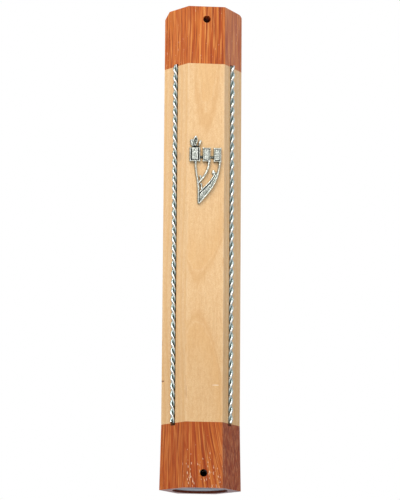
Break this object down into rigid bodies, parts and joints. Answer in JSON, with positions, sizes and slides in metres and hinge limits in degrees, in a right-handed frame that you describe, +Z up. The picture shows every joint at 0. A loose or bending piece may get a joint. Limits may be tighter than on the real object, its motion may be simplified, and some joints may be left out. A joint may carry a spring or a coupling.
{
  "type": "mezuzah case",
  "caption": "Hexagonal wooden case for a rolled parchment scroll, with red end caps, wire inlay, a cast letter emblem, screw holes and a push-in bottom plug.",
  "frame": {"origin": "centre of the flat back face that lies against the doorpost", "axes": "+Z up along the case, +Y out of the back face into the doorpost, the front faces -Y, +X to the right seen from the front"},
  "size_m": [0.03, 0.025, 0.18],
  "materials": {
    "light_wood": "satin varnish, fine straight grain",
    "red_wood": "satin varnish, streaked red-brown grain",
    "grey_plug": "matt moulded",
    "parchment": "matt parchment, blank",
    "cast_pewter": "polished high spots, dark recesses",
    "silver_wire": "bright drawn wire"
  },
  "bodies": {
    "case": {"top_cap": "red_wood", "case_body": "light_wood", "bottom_cap": "red_wood", "shin_emblem": "cast_pewter", "left_wire_a": "silver_wire", "left_wire_b": "silver_wire", "right_wire_a": "silver_wire", "right_wire_b": "silver_wire"},
    "scroll": {"scroll": "parchment"},
    "plug": {"bottom_plug": "grey_plug"}
  },
  "joints": [
    {"name": "scroll_slide", "type": "slide", "parent": "case", "child": "scroll", "axis": [0, 0, -1], "range_m": [0, 0.14]},
    {"name": "plug_pull", "type": "slide", "parent": "case", "child": "plug", "axis": [0, 0, -1], "range_m": [0, 0.17]}
  ],
  "couplings": [
    {"joint": "plug_pull", "follows": "scroll_slide", "ratio": 1.2}
  ]
}
